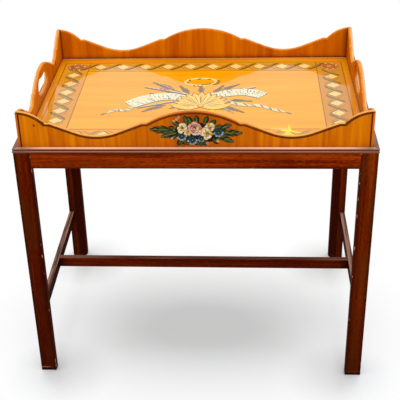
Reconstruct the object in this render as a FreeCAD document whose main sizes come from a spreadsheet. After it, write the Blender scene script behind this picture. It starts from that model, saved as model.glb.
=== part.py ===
import FreeCAD, Part
import math
import os
import Sketcher
from FreeCAD import Placement, Rotation, Vector

# A butler's tray table: a satinwood tray with scalloped galleries, which lifts off a mahogany stand.
# Millimetres, +Z up, +X along the front, +Y to the back, origin on the floor under the middle.

# Driving sizes of the table, as rows of the sheet: name, value, what it measures.
SHEET_ROWS = [
    ("stand_width", "737", "over the outer faces of the legs, along the front"),
    ("stand_depth", "508", "over the outer faces of the legs, front to back"),
    ("rail_top", "570.5", "floor to the top of the rails and legs"),
    ("leg_section", "35", "side of the square leg"),
    ("leg_chamfer", "18", "chamfer on the leg's inside corner, along each face"),
    ("foot_chamfer", "1.5", "broken edge round the foot"),
    ("rail_height", "35.5", "depth of the top rails"),
    ("rail_thickness", "20", "thickness of the top rails"),
    ("rail_tenon_thickness", "8", "tenon of a top rail, cheek to cheek"),
    ("rail_tenon_shoulder", "6", "shoulder above and below that tenon"),
    ("leg_web", "3", "wood between the two rail mortises of a leg"),
    ("stretcher_top", "150.8", "floor to the top of the stretchers"),
    ("stretcher_height", "25.4", "depth of the stretchers"),
    ("side_stretcher_thickness", "13", "thickness of the side stretchers"),
    ("cross_stretcher_thickness", "14", "thickness of the cross stretcher"),
    ("stretcher_tenon_length", "15", "tenon of a side stretcher, into the leg"),
    ("stretcher_tenon_thickness", "6", "tenon of a stretcher, cheek to cheek"),
    ("stretcher_tenon_shoulder", "4", "shoulder above and below that tenon"),
    ("stretcher_web", "5", "wood behind the cross stretcher's mortise"),
    ("arris", "0.8", "rounded edges of legs, rails and stretchers"),
    ("glue_gap", "0.1", "room for glue on each cheek of a joint"),
    ("rim_seat", "10.6", "width of the rim's seat on the rails"),
    ("rim_overhang", "1.2", "rim moulding proud of the rail"),
    ("rim_nose", "1.3", "round of the rim's upper outer edge"),
    ("rim_land", "0.5", "flat of the rim's face between nose and quirk"),
    ("rim_bead", "5.6", "height of the bead under the rim's quirk"),
    ("rim_quirk", "1.6", "width of the quirk between nose and bead"),
    ("rim_quirk_depth", "1.3", "quirk cut in behind the rail's face"),
    ("rim_inner_round", "0.8", "round of the rim's upper inner edge"),
    ("rim_pin_radius", "0.8", "pins that hold the rim down"),
    ("rim_pin_length", "18", "length of those pins"),
    ("rim_pin_cover", "2", "stopping over a rim pin's head"),
    ("block_reach", "60", "corner block along each rail, from the rails' inner corner"),
    ("block_height", "26", "height of a corner block"),
    ("block_drop", "4", "corner block below the top of the rails"),
    ("block_grip", "9", "wood under a corner block's screw head"),
    ("screw_radius", "1.9", "shank of a corner block screw"),
    ("screw_length", "21", "length under the head"),
    ("screw_point", "5", "length of the tapered point"),
    ("screw_head_radius", "3.6", "cheese head of the screw"),
    ("screw_head_height", "2.4", "cheese head of the screw"),
    ("screw_slot", "0.9", "width and depth of the driver slot"),
    ("fixing_clearance", "0.1", "round a screw or a pin in its hole"),
    ("tray_clearance", "0.8", "round the tray, inside the rim"),
    ("tray_wall", "9.5", "thickness of the galleries"),
    ("tray_base_thickness", "12", "thickness of the tray's base board"),
    ("tray_rebate", "4", "base board let into the galleries"),
    ("tray_pin_radius", "0.8", "pins through the galleries into the base"),
    ("tray_pin_length", "20", "length of those pins"),
    ("tray_pin_cover", "1", "stopping over a tray pin's head"),
    ("gallery_height", "74.4", "crest of the galleries above the tray's floor"),
    ("lobe_rise", "26.4", "crest of a lobe above its steps"),
    ("lobe_step", "10", "flat step beside a lobe"),
    ("corner_lobe", "57", "width of the half lobe at each corner"),
    ("front_lobe", "93", "half the width of the middle lobe, front and rear"),
    ("front_valley", "20", "lowest place of the front and rear galleries above the floor"),
    ("end_lobe", "83", "half the width of the middle lobe, ends"),
    ("end_valley", "29", "lowest place of the end galleries above the floor"),
    ("gallery_round", "3.6", "rounded edges along the top of the galleries"),
    ("hole_length", "106", "hand hole, end to end"),
    ("hole_width", "35.5", "hand hole, across its curved slot"),
    ("hole_sag", "5", "hand hole's middle below its ends"),
    ("hole_cover", "22.65", "wood over the middle of the hand hole"),
    ("spline_thickness", "2.5", "loose tongue in a gallery's mitre"),
    ("spline_width", "7", "loose tongue across the mitre"),
    ("spline_height", "45", "loose tongue, upright"),
    ("spline_lift", "6", "loose tongue above the tray's floor"),
    ("overrun", "5", "how far every cut runs past what it cuts"),
]

# Places along a length, as shares of half of it, and how steeply a gallery slopes down from its steps, as
# a share of a straight fall from the step to the middle of the valley.
RIM_PIN_LONG_SHARES = (-0.8, -0.4, 0.0, 0.4, 0.8)
RIM_PIN_SHORT_SHARES = (-0.6, 0.0, 0.6)
TRAY_PIN_LONG_SHARES = (-0.85, -0.45, 0.0, 0.45, 0.85)
TRAY_PIN_SHORT_SHARES = (-0.75, 0.0, 0.75)
FRONT_SLOPE_SHARE = 1.32
END_SLOPE_SHARE = 1.7
SCREW_PLACE_SHARE = 0.7
DIAGONAL_SHARE = math.sqrt(0.5)

# The sides and corners in the order of the quarter turns that carry a piece round from the front.
SIDES = ("front", "right", "rear", "left")
CORNERS = ("front_left", "front_right", "rear_right", "rear_left")
QUARTER_TURN = 90
UP = Vector(0, 0, 1)
INWARD = Vector(0, 1, 0)
ALONG = Vector(1, 0, 0)
TOUCH = 1e-6


class Size:
    """A value known both as a number and as an expression over the sheet's cells."""

    def __init__(self, value, text):
        self.value = value
        self.text = text

    def joined(self, sign, other, value):
        return Size(value, f"({self.text} {sign} {as_size(other).text})")

    def __add__(self, other):
        return self.joined("+", other, self.value + as_size(other).value)

    def __sub__(self, other):
        return self.joined("-", other, self.value - as_size(other).value)

    def __mul__(self, other):
        return self.joined("*", other, self.value * as_size(other).value)

    def __truediv__(self, other):
        return self.joined("/", other, self.value / as_size(other).value)

    def __neg__(self):
        return Size(-self.value, f"(-{self.text})")

    def root(self):
        return Size(math.sqrt(self.value), f"sqrt({self.text})")


def as_size(term):
    """A plain number, such as a share or a zero, as a Size."""
    if isinstance(term, Size):
        return term
    return Size(float(term), str(float(term)))


class Sizes:
    """The cells of the sheet by name."""

    def __init__(self, sheet):
        self.sheet = sheet

    def __getattr__(self, name):
        return Size(float(self.sheet.get(name)), f"{self.sheet.Name}.{name}")


doc = FreeCAD.newDocument("butlers_tray_table")
sheet = doc.addObject("Spreadsheet::Sheet", "dims")
for row, (alias, value, note) in enumerate(SHEET_ROWS, 1):
    sheet.set(f"A{row}", alias)
    sheet.set(f"B{row}", value)
    sheet.set(f"C{row}", note)
    sheet.setAlias(f"B{row}", alias)
doc.recompute()
size = Sizes(sheet)
nodes = []

# Sizes that several pieces share.
ZERO = as_size(0)
half_width = size.stand_width / 2
half_depth = size.stand_depth / 2
rail_bottom = size.rail_top - size.rail_height
rail_tenon_inset = (size.rail_thickness - size.rail_tenon_thickness) / 2
rail_tenon_length = size.leg_section - rail_tenon_inset - size.rail_tenon_thickness - size.leg_web
stretcher_bottom = size.stretcher_top - size.stretcher_height
cross_tenon_length = size.side_stretcher_thickness - size.stretcher_web
rim_height = size.rim_bead + size.rim_quirk + size.rim_land + size.rim_nose
rim_pin_depth = size.rim_pin_length - rim_height + size.rim_pin_cover
rim_pin_hole = size.rim_pin_radius + size.fixing_clearance
tray_inset = size.rim_seat + size.tray_clearance
tray_half_width = half_width - tray_inset
tray_half_depth = half_depth - tray_inset
tray_lip = size.tray_wall - size.tray_rebate
tray_pin_height = size.tray_base_thickness / 2
tray_pin_hole = size.tray_pin_radius + size.fixing_clearance
block_bottom = size.rail_height - size.block_drop - size.block_height
screw_height = block_bottom + size.block_height / 2
screw_place = size.rail_thickness + size.block_reach * SCREW_PLACE_SHARE
screw_seat = size.rail_thickness + size.block_grip
screw_hole = size.screw_radius + size.fixing_clearance

# Half lengths along each side, first the long ones at the front and rear, then the short ones.
SIDE_HALVES = {"stand": (half_width, half_depth), "tray": (tray_half_width, tray_half_depth)}


def turned(quarter, along, inward):
    """A point of a piece drawn for the front, carried round to another side in quarter turns."""
    return [(along, inward), (-inward, along), (-along, -inward), (inward, -along)][quarter]


def side_of(frame, quarter):
    """Half the length of one side, and how far out from the middle that side stands."""
    long_half, short_half = SIDE_HALVES[frame]
    return (long_half, short_half) if quarter % 2 == 0 else (short_half, long_half)


def place(item, position, rotation=Rotation()):
    """Puts an object at a position that follows the sheet."""
    item.Placement = Placement(Vector(), rotation)
    for axis, coordinate in zip("xyz", position):
        item.setExpression(f"Placement.Base.{axis}", as_size(coordinate).text)


def new_body(label, quarter, along, inward, height):
    """A body drawn as if it stood at the front, then carried round to its own side."""
    body = doc.addObject("PartDesign::Body", label)
    body.Label = label
    place(body, (*turned(quarter, along, inward), height), Rotation(UP, quarter * QUARTER_TURN))
    nodes.append(body)
    return body


def block(body, kind, low, high):
    """Adds or takes away a square block between two opposite corners."""
    item = body.newObject(f"PartDesign::{kind}Box", f"{body.Name}_block")
    for side, near, far in zip(("Length", "Width", "Height"), low, high):
        item.setExpression(side, (as_size(far) - near).text)
    place(item, low)


def bore(body, radius, start, direction, length):
    """Takes away a round hole that runs from a start point."""
    item = body.newObject("PartDesign::SubtractiveCylinder", f"{body.Name}_bore")
    item.setExpression("Radius", radius.text)
    item.setExpression("Height", length.text)
    place(item, start, Rotation(UP, direction))


def arc_between(start, finish, radius):
    """The arc from start to finish, turning left, at most half a circle."""
    chord = finish - start
    rise = math.sqrt(max(radius * radius - chord.Length * chord.Length / 4, 0))
    centre = (start + finish) / 2 + Vector(-chord.y, chord.x, 0).normalize() * rise
    first, last = (math.atan2(end.y - centre.y, end.x - centre.x) for end in (start, finish))
    return Part.ArcOfCircle(Part.Circle(centre, UP, radius), first, last)


def add_loop(sketch, corners, radii):
    """Draws one closed line, anticlockwise, with its corners tied to the sheet. A radius bends the
    stretch that leaves its corner: above zero it swells outwards, below zero it bites in."""
    points = [Vector(across.value, up.value, 0) for across, up in corners]
    stretches = []
    for index, (radius, start) in enumerate(zip(radii, points)):
        finish = points[(index + 1) % len(points)]
        if radius is None:
            stretches.append((sketch.addGeometry(Part.LineSegment(start, finish)), 1, 2))
        elif radius.value > 0:
            stretches.append((sketch.addGeometry(arc_between(start, finish, radius.value)), 1, 2))
        else:
            stretches.append((sketch.addGeometry(arc_between(finish, start, -radius.value)), 2, 1))
    joins = []
    measures = []
    for index, (line, first, _) in enumerate(stretches):
        before, _, before_last = stretches[index - 1]
        joins.append(Sketcher.Constraint("Coincident", before, before_last, line, first))
        for kind, term in zip(("DistanceX", "DistanceY"), corners[index]):
            measures.append((Sketcher.Constraint(kind, -1, 1, line, first, term.value), term))
        if radii[index] is not None:
            term = radii[index] if radii[index].value > 0 else -radii[index]
            measures.append((Sketcher.Constraint("Radius", line, term.value), term))
    sketch.addConstraint(joins)
    indices = sketch.addConstraint([constraint for constraint, _ in measures])
    for index, (_, term) in zip(indices, measures):
        sketch.setExpression(f"Constraints[{index}]", term.text)


def outline(body, role, *loops):
    """A sketch on a plane of the body, with closed loops of corners and radii."""
    sketch = body.newObject("Sketcher::SketchObject", f"{body.Name}_outline")
    plane = next(item for item in body.Origin.OriginFeatures if item.Role == role)
    sketch.AttachmentSupport = [(plane, "")]
    sketch.MapMode = "FlatFace"
    for corners, radii in loops:
        add_loop(sketch, corners, radii)
    return sketch


def straight(corners):
    """A loop with no bent stretch."""
    return corners, [None] * len(corners)


def bent(corners):
    """A loop whose corners each carry the radius of the stretch that leaves them, or none."""
    return [(across, up) for across, up, _ in corners], [radius for _, _, radius in corners]


def pad(body, sketch, length, reverse=False, both_ways=False):
    """Thickens an outline into wood."""
    item = body.newObject("PartDesign::Pad", f"{body.Name}_pad")
    item.Profile = sketch
    item.setExpression("Length", length.text)
    item.Reversed = reverse
    item.SideType = "Symmetric" if both_ways else "One side"


def cut_through(body, sketch):
    """Cuts an outline out of the whole piece, both ways from its plane."""
    doc.recompute()
    before = body.Shape.Volume
    item = body.newObject("PartDesign::Pocket", f"{body.Name}_cut")
    item.Profile = sketch
    item.Type = "ThroughAll"
    item.SideType = "Symmetric"
    doc.recompute()
    if body.Shape.Volume >= before:
        raise ValueError(f"{item.Name} takes nothing away")


def mitre(body, half, low, high):
    """Cuts both ends at 45 degrees. The piece is half long each way where its depth is zero."""
    reach = half - low + size.overrun
    tip = low - size.overrun
    back = high + size.overrun
    right = [(reach, tip), (reach, back), (half - back, back)]
    left = [(-reach, tip), (back - half, back), (-reach, back)]
    cut_through(body, outline(body, "XY_Plane", straight(right), straight(left)))


def dress(body, kind, chosen, reach):
    """Rounds or breaks the edges of a piece that the test picks out."""
    doc.recompute()
    base = body.Tip
    edges = [f"Edge{index}" for index, edge in enumerate(base.Shape.Edges, 1) if chosen(edge)]
    item = body.newObject(f"PartDesign::{kind}", f"{body.Name}_{kind.lower()}")
    item.Base = (base, edges)
    item.setExpression("Radius" if kind == "Fillet" else "Size", reach.text)


def runs_along(edge, axis):
    """Whether an edge is a straight line along one axis."""
    sides = (edge.BoundBox.XLength, edge.BoundBox.YLength, edge.BoundBox.ZLength)
    return abs(edge.Length - sides[axis]) < TOUCH


def is_long_edge(half):
    """Picks out the edges that run the whole length of a rail or stretcher."""
    return lambda edge: runs_along(edge, 0) and abs(edge.Length - half.value * 2) < TOUCH


def leg(corner, quarter):
    """A square leg with its inside corner chamfered below the rails, mortised for the rails that meet
    on it and for a side stretcher. It is drawn with its outer corner at zero."""
    half, out = side_of("stand", quarter)
    body = new_body(f"leg_{corner}", quarter, -half, -out, ZERO)
    side = size.leg_section
    flat = side - size.leg_chamfer
    section = [(ZERO, ZERO), (side, ZERO), (side, flat), (flat, side), (ZERO, side)]
    pad(body, outline(body, "XY_Plane", straight(section)), rail_bottom)
    dress(body, "Chamfer", lambda edge: edge.BoundBox.ZMax < TOUCH, size.foot_chamfer)
    dress(body, "Fillet", lambda edge: runs_along(edge, 2) and not is_outer_corner(edge), size.arris)
    block(body, "Additive", (ZERO, ZERO, rail_bottom), (side, side, size.rail_top))
    dress(body, "Fillet", is_outer_corner, size.arris)
    gap = size.glue_gap
    rail_low = rail_bottom + size.rail_tenon_shoulder - gap
    rail_high = size.rail_top - size.rail_tenon_shoulder + gap
    for along in ("x", "y"):
        mortise(
            body,
            along,
            side - rail_tenon_length - gap,
            (rail_tenon_inset - gap, rail_tenon_inset + size.rail_tenon_thickness + gap),
            (rail_low, rail_high),
        )
    cheek = (size.side_stretcher_thickness - size.stretcher_tenon_thickness) / 2
    mortise(
        body,
        "y" if quarter % 2 == 0 else "x",
        side - size.stretcher_tenon_length - gap,
        (cheek - gap, cheek + size.stretcher_tenon_thickness + gap),
        (
            stretcher_bottom + size.stretcher_tenon_shoulder - gap,
            size.stretcher_top - size.stretcher_tenon_shoulder + gap,
        ),
    )


def is_outer_corner(edge):
    """Picks out the leg's outer corner, from the floor up."""
    return runs_along(edge, 2) and edge.BoundBox.XMax < TOUCH and edge.BoundBox.YMax < TOUCH


def mortise(body, along, bottom, cheeks, heights):
    """A mortise in a leg, for a tenon that comes in along x or along y."""
    mouth = size.leg_section + size.overrun
    low, high = (bottom, cheeks[0]), (mouth, cheeks[1])
    if along == "y":
        low, high = low[::-1], high[::-1]
    block(body, "Subtractive", (*low, heights[0]), (*high, heights[1]))


def tenons(body, half, length, cheeks, heights):
    """A tenon on each end of a piece that runs along x."""
    block(body, "Additive", (half, cheeks[0], heights[0]), (half + length, cheeks[1], heights[1]))
    block(body, "Additive", (-half - length, cheeks[0], heights[0]), (-half, cheeks[1], heights[1]))


def rail(side, quarter):
    """A top rail between two legs, its face flush with theirs, bored for the rim's pins and the corner
    blocks' screws."""
    half, out = side_of("stand", quarter)
    body = new_body(f"rail_{side}", quarter, ZERO, -out, rail_bottom)
    span = half - size.leg_section
    thick = size.rail_thickness
    block(body, "Additive", (-span, ZERO, ZERO), (span, thick, size.rail_height))
    lower = is_long_edge(span)
    dress(body, "Fillet", lambda edge: lower(edge) and edge.BoundBox.ZMax < TOUCH, size.arris)
    tenons(
        body,
        span,
        rail_tenon_length,
        (rail_tenon_inset, rail_tenon_inset + size.rail_tenon_thickness),
        (size.rail_tenon_shoulder, size.rail_height - size.rail_tenon_shoulder),
    )
    for along in rim_pin_places(quarter):
        start = (along, size.rim_seat / 2, size.rail_height + size.overrun)
        bore(body, rim_pin_hole, start, -UP, rim_pin_depth + size.overrun + size.fixing_clearance)
    for along in (half - screw_place, screw_place - half):
        start = (along, thick + size.overrun, screw_height)
        depth = size.screw_length - size.block_grip + size.overrun + size.fixing_clearance
        bore(body, screw_hole, start, -INWARD, depth)


def rim_pin_places(quarter):
    """Where the rim's pins stand along a rail."""
    span = side_of("stand", quarter)[0] - size.leg_section
    shares = RIM_PIN_LONG_SHARES if quarter % 2 == 0 else RIM_PIN_SHORT_SHARES
    return [span * share for share in shares]


def rim(side, quarter):
    """A length of moulded rim that keeps the tray in place: a nose, a quirk and a bead, mitred at the
    corners and pinned down from above."""
    half, out = side_of("stand", quarter)
    body = new_body(f"rim_{side}", quarter, ZERO, -out, size.rail_top)
    proud = size.rim_overhang
    top = rim_height
    under_nose = size.rim_bead + size.rim_quirk
    seat = size.rim_seat
    quirk = size.rim_quirk_depth
    profile = [
        (ZERO, ZERO, None),
        (seat, ZERO, None),
        (seat, top - size.rim_inner_round, size.rim_inner_round),
        (seat - size.rim_inner_round, top, None),
        (size.rim_nose - proud, top, size.rim_nose),
        (-proud, top - size.rim_nose, None),
        (-proud, under_nose, None),
        (quirk, under_nose, None),
        (quirk, size.rim_bead, None),
        (ZERO, size.rim_bead, bend(size.rim_bead / 2, proud)),
    ]
    section = outline(body, "YZ_Plane", bent(profile))
    pad(body, section, (half + proud) * 2, both_ways=True)
    mitre(body, half, -proud, seat)
    for along in rim_pin_places(quarter):
        start = (along, seat / 2, -size.overrun)
        bore(body, rim_pin_hole, start, UP, top - size.rim_pin_cover + size.overrun)


def bend(run, rise):
    """Radius of the arc that rises so far over half its chord."""
    return (run * run + rise * rise) / (rise * 2)


def side_stretcher(side, quarter):
    """A low rail between a front and a rear leg, mortised in the middle for the cross stretcher."""
    half, out = side_of("stand", quarter)
    body = new_body(f"stretcher_{side}", quarter, ZERO, -out, stretcher_bottom)
    span = half - size.leg_section
    thick = size.side_stretcher_thickness
    cheek = (thick - size.stretcher_tenon_thickness) / 2
    heights = (size.stretcher_tenon_shoulder, size.stretcher_height - size.stretcher_tenon_shoulder)
    block(body, "Additive", (-span, ZERO, ZERO), (span, thick, size.stretcher_height))
    dress(body, "Fillet", is_long_edge(span), size.arris)
    cheeks = (cheek, cheek + size.stretcher_tenon_thickness)
    tenons(body, span, size.stretcher_tenon_length, cheeks, heights)
    half_mortise = size.stretcher_tenon_thickness / 2 + size.glue_gap
    low = (-half_mortise, size.stretcher_web - size.glue_gap, heights[0] - size.glue_gap)
    high = (half_mortise, thick + size.overrun, heights[1] + size.glue_gap)
    block(body, "Subtractive", low, high)


def cross_stretcher():
    """The rail of the H, tenoned into the middle of both side stretchers."""
    body = new_body("stretcher_cross", 0, ZERO, ZERO, stretcher_bottom)
    span = half_width - size.side_stretcher_thickness
    thick = size.cross_stretcher_thickness / 2
    cheek = size.stretcher_tenon_thickness / 2
    block(body, "Additive", (-span, -thick, ZERO), (span, thick, size.stretcher_height))
    dress(body, "Fillet", is_long_edge(span), size.arris)
    heights = (size.stretcher_tenon_shoulder, size.stretcher_height - size.stretcher_tenon_shoulder)
    tenons(body, span, cross_tenon_length, (-cheek, cheek), heights)


def corner_block(corner, quarter):
    """A block across an inside corner of the rails, cut round the leg and screwed to both rails."""
    half, out = side_of("stand", quarter)
    body = new_body(f"corner_block_{corner}", quarter, -half, -out, rail_bottom + block_bottom)
    near = size.rail_thickness
    far = near + size.block_reach
    side = size.leg_section
    corners = [(side, near), (far, near), (near, far), (near, side), (side, side)]
    pad(body, outline(body, "XY_Plane", straight(corners)), size.block_height)
    height = size.block_height / 2
    head = size.screw_head_radius + size.fixing_clearance
    across = near - size.overrun
    grip = size.block_grip + size.overrun
    bore(body, screw_hole, (screw_place, across, height), INWARD, grip)
    bore(body, head, (screw_place, screw_seat, height), INWARD, size.block_reach)
    bore(body, screw_hole, (across, screw_place, height), ALONG, grip)
    bore(body, head, (screw_seat, screw_place, height), ALONG, size.block_reach)


def part_solid(kind, sizes, position=(ZERO, ZERO, ZERO), rotation=Rotation()):
    """A simple solid whose sizes follow the sheet."""
    item = doc.addObject(f"Part::{kind}", kind.lower())
    for side, term in sizes.items():
        item.setExpression(side, as_size(term).text)
    place(item, position, rotation)
    return item


def group(label, solids):
    """Like fixings together, each a solid of its own."""
    item = doc.addObject("Part::Compound", label)
    item.Label = label
    item.Links = solids
    nodes.append(item)


def screw(position, rotation):
    """A slotted wood screw. It points up, with the underside of its head at zero."""
    shank = size.screw_length - size.screw_point
    head = size.screw_head_radius
    slot_low = size.screw_slot - size.screw_head_height
    pieces = [
        part_solid("Cylinder", {"Radius": size.screw_radius, "Height": shank}),
        part_solid(
            "Cone",
            {"Radius1": size.screw_radius, "Radius2": ZERO, "Height": size.screw_point},
            (ZERO, ZERO, shank),
        ),
        part_solid(
            "Cylinder",
            {"Radius": head, "Height": size.screw_head_height},
            (ZERO, ZERO, -size.screw_head_height),
        ),
    ]
    whole = doc.addObject("Part::MultiFuse", "screw_blank")
    whole.Shapes = pieces
    slot = part_solid(
        "Box",
        {"Length": head * 2 + size.overrun * 2, "Width": size.screw_slot, "Height": size.overrun},
        (-head - size.overrun, -size.screw_slot / 2, slot_low - size.overrun),
    )
    item = doc.addObject("Part::Cut", "screw")
    item.Base = whole
    item.Tool = slot
    place(item, position, rotation)
    return item


def block_screws():
    """Two screws through each corner block, one into each rail."""
    solids = []
    height = rail_bottom + screw_height
    for quarter in range(len(CORNERS)):
        half, out = side_of("stand", quarter)
        for along, inward, direction in (
            (screw_place, screw_seat, -INWARD),
            (screw_seat, screw_place, -ALONG),
        ):
            spot = turned(quarter, along - half, inward - out)
            turn = Rotation(UP, quarter * QUARTER_TURN) * Rotation(UP, direction)
            solids.append(screw((*spot, height), turn))
    group("corner_block_screws", solids)


def rim_pins():
    """Pins through the rim into the rails, their heads punched under the surface."""
    solids = []
    foot = size.rail_top - rim_pin_depth
    for quarter in range(len(SIDES)):
        out = side_of("stand", quarter)[1]
        for along in rim_pin_places(quarter):
            spot = turned(quarter, along, size.rim_seat / 2 - out)
            sizes = {"Radius": size.rim_pin_radius, "Height": size.rim_pin_length}
            solids.append(part_solid("Cylinder", sizes, (*spot, foot)))
    group("rim_pins", solids)


def tray_pin_places(quarter):
    """Where the tray's pins stand along a gallery."""
    span = side_of("tray", quarter)[0] - size.tray_wall
    shares = TRAY_PIN_LONG_SHARES if quarter % 2 == 0 else TRAY_PIN_SHORT_SHARES
    return [span * share for share in shares]


def tray_pins():
    """Pins through the galleries' lips into the edges of the base board."""
    solids = []
    for quarter in range(len(SIDES)):
        out = side_of("tray", quarter)[1]
        turn = Rotation(UP, quarter * QUARTER_TURN) * Rotation(UP, INWARD)
        for along in tray_pin_places(quarter):
            spot = turned(quarter, along, size.tray_pin_cover - out)
            sizes = {"Radius": size.tray_pin_radius, "Height": size.tray_pin_length}
            solids.append(part_solid("Cylinder", sizes, (*spot, size.rail_top + tray_pin_height), turn))
    group("tray_base_pins", solids)


def tray_base():
    """The board that is the tray's floor, let into the galleries all round."""
    body = new_body("tray_base", 0, ZERO, ZERO, size.rail_top)
    gap = tray_lip + size.glue_gap
    wide = tray_half_width - gap
    deep = tray_half_depth - gap
    block(body, "Additive", (-wide, -deep, ZERO), (wide, deep, size.tray_base_thickness))
    depth = size.tray_pin_length + size.tray_pin_cover + size.fixing_clearance
    for quarter in range(len(SIDES)):
        out = side_of("tray", quarter)[1]
        direction = Rotation(UP, quarter * QUARTER_TURN).multVec(INWARD)
        for along in tray_pin_places(quarter):
            start = (*turned(quarter, along, -out), tray_pin_height)
            bore(body, tray_pin_hole, start, direction, depth)


def gallery(side, quarter, lobe, valley, slope_share):
    """A scalloped wall of the tray: a lobe in the middle and half a lobe at each corner, each with a
    flat step beside it. From the steps it slopes down into a round valley, which the slopes touch
    smoothly. Its corners are mitred round loose tongues."""
    half, out = side_of("tray", quarter)
    body = new_body(f"gallery_{side}", quarter, ZERO, -out, size.rail_top)
    wall = size.tray_wall
    floor = size.tray_base_thickness
    crest = floor + size.gallery_height
    step = crest - size.lobe_rise
    inner = lobe + size.lobe_step
    outer = half - size.corner_lobe - size.lobe_step
    middle = (inner + outer) / 2
    fall = step - floor - valley
    slope = fall * slope_share / (outer - middle)
    half_slope = ((slope * slope + 1).root() - 1) / slope
    run = (slope * (outer - middle) - fall) / (slope - half_slope)
    dip = run * half_slope
    right = [
        (half, crest, bend(size.corner_lobe, size.lobe_rise)),
        (half - size.corner_lobe, step, None),
        (outer, step, None),
        (middle + run, floor + valley + dip, -bend(run, dip)),
        (middle - run, floor + valley + dip, None),
        (inner, step, None),
        (lobe, step, bend(lobe, size.lobe_rise)),
    ]
    left_radii = [radius for _, _, radius in reversed(right[:-1])] + [None]
    left = [(-across, up, radius) for (across, up, _), radius in zip(reversed(right), left_radii)]
    foot = [(-half, ZERO, None), (half, ZERO, None)]
    pad(body, outline(body, "XZ_Plane", bent(foot + right + left)), wall, reverse=True)
    if quarter % 2 == 1:
        cut_through(body, outline(body, "XZ_Plane", hand_hole(crest)))
    mitre(body, half, ZERO, wall)
    dress(body, "Fillet", is_gallery_edge, size.gallery_round)
    run_out = half + size.overrun
    rebate_top = (run_out, wall + size.overrun, floor)
    block(body, "Subtractive", (-run_out, tray_lip, -size.overrun), rebate_top)
    for along in tray_pin_places(quarter):
        start = (along, size.tray_pin_cover, tray_pin_height)
        bore(body, tray_pin_hole, start, INWARD, wall)
    for angle in (QUARTER_TURN / 2, QUARTER_TURN * 3 / 2):
        spline_slot(body, half, angle)


def hand_hole(crest):
    """A curved slot for the fingers under a gallery's crest, its middle lower than its ends."""
    round_end = size.hole_width / 2
    run = size.hole_length / 2 - round_end
    sweep = bend(run, size.hole_sag)
    over = crest - size.hole_cover - round_end + sweep
    inside = sweep - round_end
    outside = sweep + round_end
    across = run / sweep
    down = (sweep - size.hole_sag) / sweep
    tip = (across * sweep + down * round_end, over - down * sweep + across * round_end)
    return bent([
        (-across * outside, over - down * outside, outside),
        (across * outside, over - down * outside, round_end),
        (*tip, round_end),
        (across * inside, over - down * inside, -inside),
        (-across * inside, over - down * inside, round_end),
        (-tip[0], tip[1], round_end),
    ])


def is_gallery_edge(edge):
    """Picks out the scalloped edges and the rims of the hand hole, on both faces of a gallery."""
    box = edge.BoundBox
    on_face = box.YMax < TOUCH or box.YMin > size.tray_wall.value - TOUCH
    above_floor = box.ZMin > size.tray_base_thickness.value + TOUCH
    return on_face and above_floor and not runs_along(edge, 2)


def spline_sizes(gap):
    """Length, width and height of a loose tongue, or of its slot with room for glue."""
    return {
        "Length": size.spline_width + gap * 2,
        "Width": size.spline_thickness + gap * 2,
        "Height": size.spline_height + gap * 2,
    }


def spline_corner(half, angle, gap):
    """The first corner of a tongue, or of its slot, in the frame of the gallery whose end it joins."""
    sizes = spline_sizes(gap)
    along = sizes["Length"] / 2 * DIAGONAL_SHARE
    across = sizes["Width"] / 2 * DIAGONAL_SHARE
    middle = half - size.tray_wall / 2
    height = size.tray_base_thickness + size.spline_lift - gap
    depth = size.tray_wall / 2 - along
    if angle < QUARTER_TURN:
        return (middle - along + across, depth - across, height)
    return (-middle + along + across, depth + across, height)


def spline_slot(body, half, angle):
    """The slot for a loose tongue, across the mitre at one end of a gallery."""
    item = body.newObject("PartDesign::SubtractiveBox", f"{body.Name}_slot")
    for side, term in spline_sizes(size.glue_gap).items():
        item.setExpression(side, term.text)
    place(item, spline_corner(half, angle, size.glue_gap), Rotation(UP, angle))


def splines():
    """The four loose tongues of the tray's corners."""
    solids = []
    for quarter in range(len(SIDES)):
        half, out = side_of("tray", quarter)
        along, inward, height = spline_corner(half, QUARTER_TURN / 2, ZERO)
        spot = turned(quarter, along, inward - out)
        turn = Rotation(UP, quarter * QUARTER_TURN + QUARTER_TURN / 2)
        solids.append(part_solid("Box", spline_sizes(ZERO), (*spot, size.rail_top + height), turn))
    group("gallery_corner_splines", solids)


for quarter, corner in enumerate(CORNERS):
    leg(corner, quarter)
    corner_block(corner, quarter)
for quarter, side in enumerate(SIDES):
    rail(side, quarter)
    rim(side, quarter)
    if quarter % 2 == 1:
        side_stretcher(side, quarter)
        gallery(side, quarter, size.end_lobe, size.end_valley, END_SLOPE_SHARE)
    else:
        gallery(side, quarter, size.front_lobe, size.front_valley, FRONT_SLOPE_SHARE)
cross_stretcher()
tray_base()
block_screws()
rim_pins()
tray_pins()
splines()
doc.recompute()

failed = [item.Label for item in doc.Objects if {"Invalid", "Error"} & set(item.State)]
if failed:
    raise ValueError(f"these objects failed: {failed}")
for node in nodes:
    if node.Shape.isNull() or not node.Shape.isValid() or not node.Shape.Solids:
        raise ValueError(f"{node.Label} has no sound shape")

os.makedirs("parts", exist_ok=True)
for node in nodes:
    node.Shape.exportStep(f"parts/{node.Label}.step")
    print(node.Label, len(node.Shape.Solids), round(node.Shape.Volume / 1000, 1), "cm3")
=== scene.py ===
import math
import random

import bpy
from mathutils import Matrix, Vector
from mathutils.bvhtree import BVHTree


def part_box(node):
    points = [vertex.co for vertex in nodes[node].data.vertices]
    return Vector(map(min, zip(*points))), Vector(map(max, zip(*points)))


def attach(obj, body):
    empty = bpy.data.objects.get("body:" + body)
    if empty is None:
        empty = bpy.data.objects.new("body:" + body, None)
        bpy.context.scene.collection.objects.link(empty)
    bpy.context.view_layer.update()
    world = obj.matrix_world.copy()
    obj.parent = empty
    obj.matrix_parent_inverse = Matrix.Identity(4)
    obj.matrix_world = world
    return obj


# A butler's tray table: a painted satinwood tray with scalloped galleries on a square-legged mahogany
# stand. Metres, +Z up, +X along the front, +Y to the back. MM turns millimetres into metres.

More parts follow.
